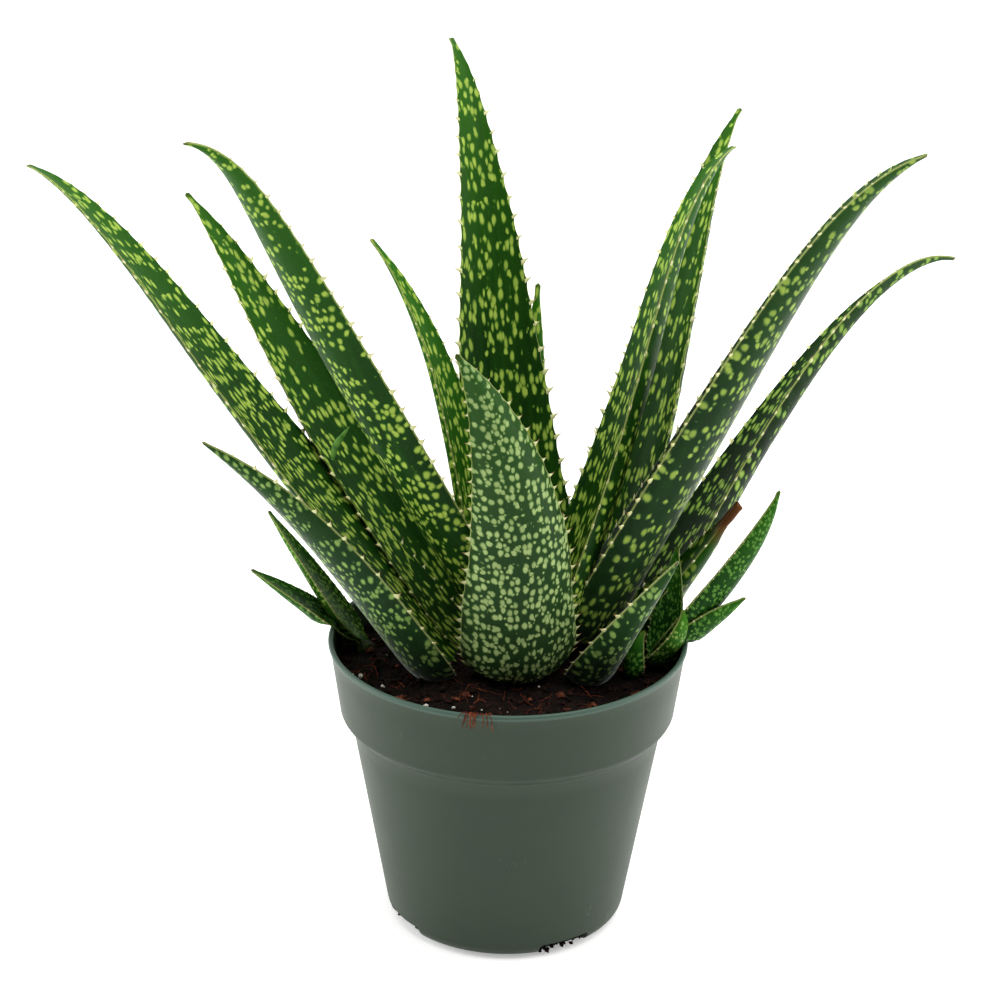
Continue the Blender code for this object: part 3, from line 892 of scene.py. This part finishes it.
# %% Turn the plug and rough up its top
SOIL_ROUND = 220
SOIL_RINGS = 64
WALL_GAP = 0.35
CENTRE = 0.01  # radius of the ring that closes a turned body
soil_profile = [
    (CENTRE, FLOOR_THICKNESS + WALL_GAP),
    (WALL_FOOT_RADIUS - WALL - 3 - WALL_GAP, FLOOR_THICKNESS + WALL_GAP),
    (WALL_FOOT_RADIUS - WALL - WALL_GAP, CORNER + 1.2),
    (wall_top - WALL - 0.6 - WALL_GAP, BAND_FOOT_HEIGHT - SHOULDER - 1),
    (BAND_FOOT_RADIUS - WALL - WALL_GAP, BAND_FOOT_HEIGHT + 0.3),
]
top_radius = band_inside(SOIL_TOP - 1) - WALL_GAP
top_radii = [top_radius * (1 - k / (SOIL_RINGS - 1)) + 0.02 for k in range(SOIL_RINGS)]
soil_rings = [circle(radius, SOIL_ROUND, height) for radius, height in soil_profile]
soil_rings += [circle(radius, SOIL_ROUND, ground) for radius in top_radii]
soil_points, soil_faces = loft(soil_rings)

# %% [markdown]
# ### Peat
#
# Moist peat is nearly black where it is packed and red-brown where fibres show. It has no gloss of its own,
# so its roughness is near 0.95 and its specular level is low. The grit is finer than the patches of colour.


# %% Peat, bark, perlite and fibre materials
def crumbly(name, dark, light, patch, roughest, depth, ior=1.4):
    """A dull natural finish: two tones mixed by patches of a size in millimetres, and a rough surface."""
    made, shader, add = start_material(name, ior, Specular_IOR_Level=0.15)
    place = add("TexCoord").outputs["Object"]
    patches = add("TexNoise", {"Vector": place, "Scale": 1000 / patch, "Detail": 5.0, "Roughness": 0.65})
    toned = add(
        "MapRange",
        {"Value": patches, "From Min": 0.42, "From Max": 0.68},
        interpolation_type="SMOOTHSTEP",
    )
    colour = add("Mix", {FACTOR: toned, FIRST: linear(dark), SECOND: linear(light)}, data_type="RGBA")
    grit = add("TexNoise", {"Vector": place, "Scale": 2400 / patch, "Detail": 4.0})
    roughness = add("MapRange", {"Value": grit, "To Min": roughest - 0.2, "To Max": roughest})
    finish_material(add, shader, colour, roughness, grit, depth)
    return made


peat = crumbly("moist_peat", "#070402", "#1E0F0A", 2.2, 0.98, 0.5)
peat_crumb = crumbly("peat_crumb", "#0C0604", "#2A150D", 1.6, 0.98, 0.3)
bark = crumbly("composted_bark", "#3A1A0E", "#74402A", 1.4, 0.92, 0.3)
perlite = crumbly("expanded_perlite", "#B9B3A4", "#EFECE4", 0.8, 0.95, 0.25, 1.5)
fibre = crumbly("coconut_fibre", "#451B0E", "#8A4324", 3.0, 0.85, 0.05)

soil = make_object("peat_soil", soil_points, soil_faces, [peat])
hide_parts("potting_soil")

# %% [markdown]
# ### Crumbs, perlite and bark
#
# Loose pieces lie on the soil: broken crumbs of peat, white grains of perlite, and chips of bark. Each is a
# small ball that has been dented at random and flattened. The larger grains stand where the CAD model has
# them, and finer ones are sprinkled round them.


# %% Break a small lump
def lump(dice, centre, size, flatness, rough):
    """Points and faces of one broken lump."""
    bm = bmesh.new()
    bmesh.ops.create_icosphere(bm, subdivisions=2 if size > 1.3 else 1, radius=0.5)
    offset = Vector(dice.uniform(-50, 50, 3))
    squash = Vector(dice.uniform(0.7, 1.15, 3)) * size
    squash.z *= flatness
    spin = Matrix.Rotation(dice.uniform(0, math.tau), 3, "Z") @ Matrix.Rotation(dice.normal(0, 0.25), 3, "X")
    points = []
    for vert in bm.verts:
        dented = vert.co * (1 + rough * noise.noise(vert.co * 3.2 + offset) * 2)
        points.append(np.array(centre) + np.array(spin @ (dented * squash)))
    faces = [tuple(vert.index for vert in face.verts) for face in bm.faces]
    bm.free()
    return np.array(points), faces


def lump_on_soil(dice, place, size, sunk, flatness, rough):
    """A lump at an (x, y), with its middle above the soil by a share of its size."""
    return lump(dice, (*place, ground(*place) + sunk * size), size, flatness, rough)


def spot_on_soil(dice, inner, outer):
    """A random place on the soil between two radii."""
    far = math.sqrt(dice.uniform(inner**2, outer**2))
    turn = dice.uniform(0, math.tau)
    return far * math.cos(turn), far * math.sin(turn)


# %% Sprinkle the peat crumbs
CRUMBS = 1500
dice = np.random.default_rng(7)
crumbs = []
for _ in range(CRUMBS):
    place = spot_on_soil(dice, 12, band_inside(SOIL_TOP) - 1.2)
    crumbs.append(lump_on_soil(dice, place, 0.5 + 2.2 * dice.random() ** 3, 0.12, 0.75, 0.35))
crumb_heap = make_object("peat_crumbs", *gather(crumbs), [peat_crumb])
print(CRUMBS, "crumbs with", len(crumb_heap.data.polygons), "faces")

# %% Lay the perlite and the bark chips where the CAD model has them
FINE_PERLITE = 26
FINE_BARK = 38
RIM_PERLITE = (  # grains that show just inside the left rim: place and size
    ((-46.5, -9.0), 1.5),
    ((-42.0, -19.0), 1.7),
    ((-38.5, -23.5), 1.5),
    ((-28.0, -33.0), 1.2),
    ((-26.0, -35.5), 1.4),
)


def grains_at(prefix, count, dice, share, flatness, rough):
    """One lump for each CAD grain of that name, with a share of its size."""
    lumps = []
    for i in range(count):
        low, high = (Vector(corner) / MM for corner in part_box(f"{prefix}_{i + 1}"))
        middle = (low + high) / 2
        size = max(high.x - low.x, high.y - low.y) * share
        lumps.append(lump_on_soil(dice, middle.xy, size, 0.25 * flatness, flatness, rough))
    return lumps


perlite_lumps = grains_at("perlite_grain", 5, dice, 0.6, 0.85, 0.3)
for _ in range(FINE_PERLITE):
    place = spot_on_soil(dice, 20, 49)
    perlite_lumps.append(lump_on_soil(dice, place, dice.uniform(0.35, 1.25), 0.3, 0.8, 0.3))
perlite_lumps += [lump_on_soil(dice, place, size, 0.35, 0.85, 0.3) for place, size in RIM_PERLITE]
perlite_grains = make_object("perlite_grains", *gather(perlite_lumps), [perlite])
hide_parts(*(f"perlite_grain_{i + 1}" for i in range(5)))

bark_lumps = grains_at("bark_chip", 3, dice, 1.05, 0.35, 0.45)
for _ in range(FINE_BARK):
    x, y = spot_on_soil(dice, 18, 49)
    bark_lumps.append(lump(dice, (x, y, ground(x, y) + 0.3), dice.uniform(1.2, 3.4), 0.4, 0.5))
bark_chips = make_object("bark_chips", *gather(bark_lumps), [bark])
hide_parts(*(f"bark_chip_{i + 1}" for i in range(3)))
print("perlite grains:", len(perlite_lumps), "bark chips:", len(bark_lumps))

# %% [markdown]
# ### Coconut fibres
#
# Fine red-brown threads of coir lie in the peat, and a small tuft of them hangs over the front of the rim.
# A thread is a curve with a round bevel, which is the lightest way to make a long thin thing.

# %% Lay the fibres
FIBRES = 120
fibre_curve = bpy.data.curves.new("coir_threads", "CURVE")
fibre_curve.dimensions = "3D"
fibre_curve.bevel_depth = 0.11 * MM
fibre_curve.bevel_resolution = 2
fibre_curve.use_fill_caps = True


def lay_thread(points, thickness):
    thread = fibre_curve.splines.new("POLY")
    thread.points.add(len(points) - 1)
    for knot, place in zip(thread.points, points):
        knot.co = (*(Vector(place) * MM), 1)
        knot.radius = thickness


for _ in range(FIBRES):
    x, y = spot_on_soil(dice, 16, 48)
    heading, bend = dice.uniform(0, math.tau), dice.normal(0, 0.22)
    arched = dice.uniform(0.2, 1.4)
    length = dice.uniform(3, 11)
    path = []
    for k in range(9):
        if math.hypot(x, y) < band_inside(SOIL_TOP) - 0.8:
            path.append((x, y, ground(x, y) + 0.25 + arched * math.sin(math.pi * k / 8)))
        x += math.cos(heading) * length / 8
        y += math.sin(heading) * length / 8
        heading += bend
    if len(path) > 2:
        lay_thread(path, dice.uniform(0.5, 1.1))

# %% Hang a tuft over the rim, left of the middle of the front
TUFT = 16
TUFT_AT = -98.5
OVER_RIM = [(48.5, 83.6), (50.8, 86.6), (52.6, 90.2), (53.4, 91.0), (54.4, 90.4)]
for _ in range(TUFT):
    turn = math.radians(TUFT_AT + dice.normal(0, 1.9))
    reach = OVER_RIM + [(54.55, 90.0 - dice.uniform(0.5, 4.2))]
    drift = dice.normal(0, 0.012)
    path = []
    for k, (radius, height) in enumerate(reach):
        wobble = turn + drift * k + dice.normal(0, 0.0035)
        lifted = dice.uniform(0.0, 0.35)
        far = radius + lifted
        path.append((far * math.cos(wobble), far * math.sin(wobble), height + lifted))
    lay_thread(path, dice.uniform(0.7, 1.5))
fibres = put_in_scene("coir_fibres", fibre_curve)
fibre_curve.materials.append(fibre)
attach(fibres, "root")
print(len(fibre_curve.splines), "fibres")

# %% [markdown]
# ## The stems
#
# The leaves clasp a short stem, and hardly any of it shows. The CAD stems already have the right shape, so
# they stay, and only get a finish: dark green, slightly woody plant tissue.

# %% Finish the stems
stem_finish = crumbly("woody_stem", "#1E2A10", "#3E4A22", 2.0, 0.7, 0.1)
for stem in ("crown_stem", "offset_left_stem", "offset_right_stem"):
    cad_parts[stem].data.materials.clear()
    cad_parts[stem].data.materials.append(stem_finish)

# %% [markdown]
# ## The pot
#
# A nursery pot is injection-moulded from polypropylene in a grey green. The mould gives it a draft angle, a
# wide rim band for stiffness, a rounded bead at the lip, and drain slots in its bottom corner. It is turned
# from one profile, up the outside and down the inside, and the slots are cut through with a Boolean.

# %% Draw the profile
POT_ROUND = 192
RECESS_DEPTH = 0.8
RECESS_INNER = 21.0
RECESS_OUTER = 28.5


def arc(centre, radius, start, end, steps):
    """Points of a round corner, from one angle to another in degrees."""
    angles = [math.radians(start + (end - start) * i / steps) for i in range(steps + 1)]
    return [(centre[0] + radius * math.cos(a), centre[1] + radius * math.sin(a)) for a in angles]


def straight(start, end, steps):
    """Points of a straight run, without its start."""
    shares = [k / steps for k in range(1, steps + 1)]
    return [(start[0] + (end[0] - start[0]) * t, start[1] + (end[1] - start[1]) * t) for t in shares]


pot_profile = [(CENTRE, 0), (RECESS_INNER, 0), (RECESS_INNER + 0.6, RECESS_DEPTH)]
pot_profile += [(RECESS_OUTER - 0.6, RECESS_DEPTH), (RECESS_OUTER, 0)]
pot_profile += arc((WALL_FOOT_RADIUS - CORNER, CORNER), CORNER, -90, -10, 12)
pot_profile += straight(pot_profile[-1], (wall_top - 0.6, BAND_FOOT_HEIGHT - SHOULDER - 2), 12)
pot_profile += arc((wall_top, BAND_FOOT_HEIGHT), SHOULDER, -62, 0, 7)
pot_profile += straight(pot_profile[-1], (RIM_RADIUS - LIP / 2, POT_HEIGHT - 2 * LIP), 6)
pot_profile += arc((RIM_RADIUS - LIP / 2, POT_HEIGHT - LIP / 2), LIP / 2, -25, 185, 12)
pot_profile += [
    (band_inside(80), 80.0),
    (BAND_FOOT_RADIUS - WALL, BAND_FOOT_HEIGHT),
    (wall_top - WALL - 0.6, BAND_FOOT_HEIGHT - SHOULDER - 1),
    (WALL_FOOT_RADIUS - WALL, CORNER + 1),
    (WALL_FOOT_RADIUS - WALL - 3, FLOOR_THICKNESS),
    (CENTRE, FLOOR_THICKNESS),
]
pot_points, pot_faces = loft([circle(radius, POT_ROUND, height) for radius, height in pot_profile])
print("the profile has", len(pot_profile), "points")

# %% [markdown]
# ### Polypropylene
#
# The plastic is dull: the mould was lightly etched, which gives a roughness near 0.47 and a grain a fraction
# of a millimetre across. Recycled pigment leaves faint clouds of colour, the top of the lip is painted paler
# and more teal as a painted highlight, and handling has left specks of soil and a few pale scratches.


# %% Moulded plastic material
def moulded_plastic():
    made, shader, add = start_material("grey_green_polypropylene", 1.49, Specular_IOR_Level=0.30)
    place = add("TexCoord").outputs["Object"]
    clouds = add("TexNoise", {"Vector": place, "Scale": 60.0, "Detail": 4.0})
    body = add(
        "Mix", {FACTOR: clouds, FIRST: linear("#1B2B1A"), SECOND: linear("#263623")}, data_type="RGBA"
    )
    height = add("SeparateXYZ", {0: place}).outputs["Z"]
    # Painted highlight: the top of the lip is mixed towards a paler teal
    lip_highlight_share = add(
        "MapRange",
        {"Value": height, "From Min": 88.4 * MM, "From Max": 89.4 * MM, "To Max": 0.75},
        interpolation_type="SMOOTHSTEP",
    )

    # Specks of soil: rare cells 6 mm apart with a dot of up to 0.45 mm in them
    cells = add("TexVoronoi", {"Vector": place, "Scale": 1000 / 6, "Randomness": 1.0})
    chance = add("SeparateColor", {0: cells.outputs["Color"]})
    dot = add("MapRange", {"Value": chance, "From Min": 0.80, "From Max": 1.0, "To Max": 0.075})
    speck = add("Math", {0: cells.outputs["Distance"], 1: dot}, operation="LESS_THAN")
    speck = add("Math", {0: speck, 1: 0.75}, operation="MULTIPLY")

    # Pale scratches: thin, upright, and only where a slow noise lets them show
    drawn = add("VectorMath", {0: place, 1: (1400.0, 1400.0, 110.0)}, operation="MULTIPLY")
    hairs = add("TexNoise", {"Vector": drawn, "Scale": 1.0, "Detail": 1.0})
    patches = add("TexNoise", {"Vector": place, "Scale": 45.0, "Detail": 1.0})
    worn = add("Math", {0: hairs, 1: patches}, operation="MULTIPLY")
    scratch = add("MapRange", {"Value": worn, "From Min": 0.47, "From Max": 0.56, "To Max": 0.18})
    colour = layered(add, body, ((lip_highlight_share, "#40574C"), (speck, "#2A1A10"), (scratch, "#98A08C")))

    grain = add("TexNoise", {"Vector": place, "Scale": 1800.0, "Detail": 2.0})
    roughness = add("MapRange", {"Value": clouds, "To Min": 0.40, "To Max": 0.54})
    finish_material(add, shader, colour, roughness, grain, 0.05)
    return made


pot = make_object("moulded_pot", pot_points, pot_faces, [moulded_plastic()])
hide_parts("nursery_pot")

# %% [markdown]
# ### Drain slots
#
# Each slot is a block with rounded edges, pushed through the bottom corner of the pot and taken away from it.

# %% Cut the slots
DRAIN_COUNT = 4
DRAIN_FIRST = -59.4
DRAIN_WIDTH = 17.0
DRAIN_HEIGHT = 4.2
DRAIN_INNER = 31.0
DRAIN_ROUNDING = 1.2
drain_reach = WALL_FOOT_RADIUS + 2 - DRAIN_INNER
drain_turns = [math.radians(DRAIN_FIRST + 360 / DRAIN_COUNT * i) for i in range(DRAIN_COUNT)]
cutters = []
for i, turn in enumerate(drain_turns):
    bm = bmesh.new()
    bmesh.ops.create_cube(bm, size=1)
    bmesh.ops.scale(bm, vec=(drain_reach, DRAIN_WIDTH, DRAIN_HEIGHT + 1), verts=bm.verts)
    outward_edges = [edge for edge in bm.edges if abs(edge.verts[0].co.x - edge.verts[1].co.x) > 1]
    top_edges = [edge for edge in outward_edges if edge.verts[0].co.z > 0]
    bmesh.ops.bevel(bm, geom=top_edges, offset=DRAIN_ROUNDING, segments=4, affect="EDGES", profile=0.5)
    middle = (DRAIN_INNER + drain_reach / 2, 0, (DRAIN_HEIGHT - 1) / 2)
    bmesh.ops.translate(bm, vec=middle, verts=bm.verts)
    bmesh.ops.scale(bm, vec=(MM, MM, MM), verts=bm.verts)
    cutter_mesh = bpy.data.meshes.new(f"slot_cutter_{i + 1}")
    bm.to_mesh(cutter_mesh)
    bm.free()
    cutter = put_in_scene(f"slot_cutter_{i + 1}", cutter_mesh)
    cutter.rotation_euler.z = turn
    cutters.append(cutter)
    slot = pot.modifiers.new(f"slot_{i + 1}", "BOOLEAN")
    slot.operation = "DIFFERENCE"
    slot.solver = "EXACT"
    slot.object = cutter

bpy.context.view_layer.update()
graph = bpy.context.evaluated_depsgraph_get()
cut_mesh = bpy.data.meshes.new_from_object(pot.evaluated_get(graph))
pot.modifiers.clear()
pot.data = cut_mesh
pot.data.set_sharp_from_angle(angle=math.radians(42))
for cutter in cutters:
    bpy.data.objects.remove(cutter, do_unlink=True)
print("the pot has", len(pot.data.polygons), "faces after the slots are cut")

# %% Soil that has washed into the front slots
washed = []
for turn, lumps in ((drain_turns[0], 60), (drain_turns[3], 30)):
    for _ in range(lumps):
        sideways = dice.uniform(-DRAIN_WIDTH / 2 + 1, DRAIN_WIDTH / 2 - 1)
        out = dice.uniform(31.5, 34.2)
        low = dice.uniform(0.8, 2.9)
        x = out * math.cos(turn) - sideways * math.sin(turn)
        y = out * math.sin(turn) + sideways * math.cos(turn)
        washed.append(lump(dice, (x, y, low), dice.uniform(0.6, 1.4), 0.8, 0.6))
washed_soil = make_object("washed_out_soil", *gather(washed), [peat_crumb])

# %% [markdown]
# ## Floor, light and camera
#
# The plant stands on a plain pale floor. The light is a soft studio: a bright back and sides, a darker front,
# one large lamp above and one on each side. The bright surroundings draw a pale line along the lower limbs of
# the leaves and lighten the sides of the pot.

# %% Floor
FLOOR_SIZE = 12.0  # in metres
FLOOR_DROP = 0.3 * MM
bm = bmesh.new()
bmesh.ops.create_grid(bm, x_segments=1, y_segments=1, size=FLOOR_SIZE / 2)
bmesh.ops.translate(bm, vec=(0, 0, -FLOOR_DROP), verts=bm.verts)
floor_mesh = bpy.data.meshes.new("studio_floor")
bm.to_mesh(floor_mesh)
bm.free()
floor = put_in_scene("studio_floor", floor_mesh)
paper, paper_shader, _ = start_material("white_paper", 1.45, Roughness=0.9, Emission_Strength=0.35)
paper_shader.inputs["Base Color"].default_value = linear("#F7F7F5")
paper_shader.inputs["Emission Color"].default_value = linear("#FFFFFF")
floor_mesh.materials.append(paper)

# %% Surroundings: bright behind and beside, darker in front
world = bpy.data.worlds.new("soft_studio")
bpy.context.scene.world = world
world.use_nodes = True
sky = world.node_tree
backdrop = sky.nodes["Background"]
add = partial(add_node, sky)
way = add("SeparateXYZ", {0: add("TexCoord").outputs["Generated"]}).outputs["Y"]
brightness = add(
    "MapRange",
    {"Value": way, "From Min": -0.9, "From Max": 0.25, "To Min": 0.08, "To Max": 1.15},
    interpolation_type="SMOOTHSTEP",
)
backdrop.inputs["Color"].default_value = linear("#FFFFFF")
sky.links.new(live(brightness), backdrop.inputs["Strength"])

# %% Lamps
LAMPS = {  # place and size in metres, power in watts
    "overhead_softbox": ((0.10, -0.10, 1.15), 1.0, 10.0),
    "left_softbox": ((-1.1, 0.05, 0.40), 0.8, 9.0),
    "right_softbox": ((1.1, 0.10, 0.40), 0.8, 8.0),
}
LAMPS_AIM = Vector((0, 0, 0.12))
for name, (place, size, power) in LAMPS.items():
    lamp = bpy.data.lights.new(name, "AREA")
    lamp.shape = "SQUARE"
    lamp.size = size
    lamp.energy = power
    softbox = put_in_scene(name, lamp)
    softbox.location = place
    softbox.rotation_euler = (LAMPS_AIM - Vector(place)).to_track_quat("-Z", "Y").to_euler()

# %% Camera
CAMERA_TILT = math.radians(23.08)
CAMERA_ROLL = math.radians(0.64)
CAMERA_DISTANCE = 1.0
AIM = Vector((-2.87, 0.0, 134.9)) * MM
lens = bpy.data.cameras.new("studio_camera")
lens.lens = 122.0
lens.sensor_width = 36.0
lens.clip_start = 0.01
camera = put_in_scene("studio_camera", lens)
camera.location = AIM + Vector((0, -math.cos(CAMERA_TILT), math.sin(CAMERA_TILT))) * CAMERA_DISTANCE
turned = Matrix.Rotation(math.pi / 2 - CAMERA_TILT, 3, "X") @ Matrix.Rotation(CAMERA_ROLL, 3, "Z")
camera.rotation_euler = turned.to_euler()
bpy.context.scene.camera = camera
bpy.context.scene.view_settings.view_transform = "Standard"
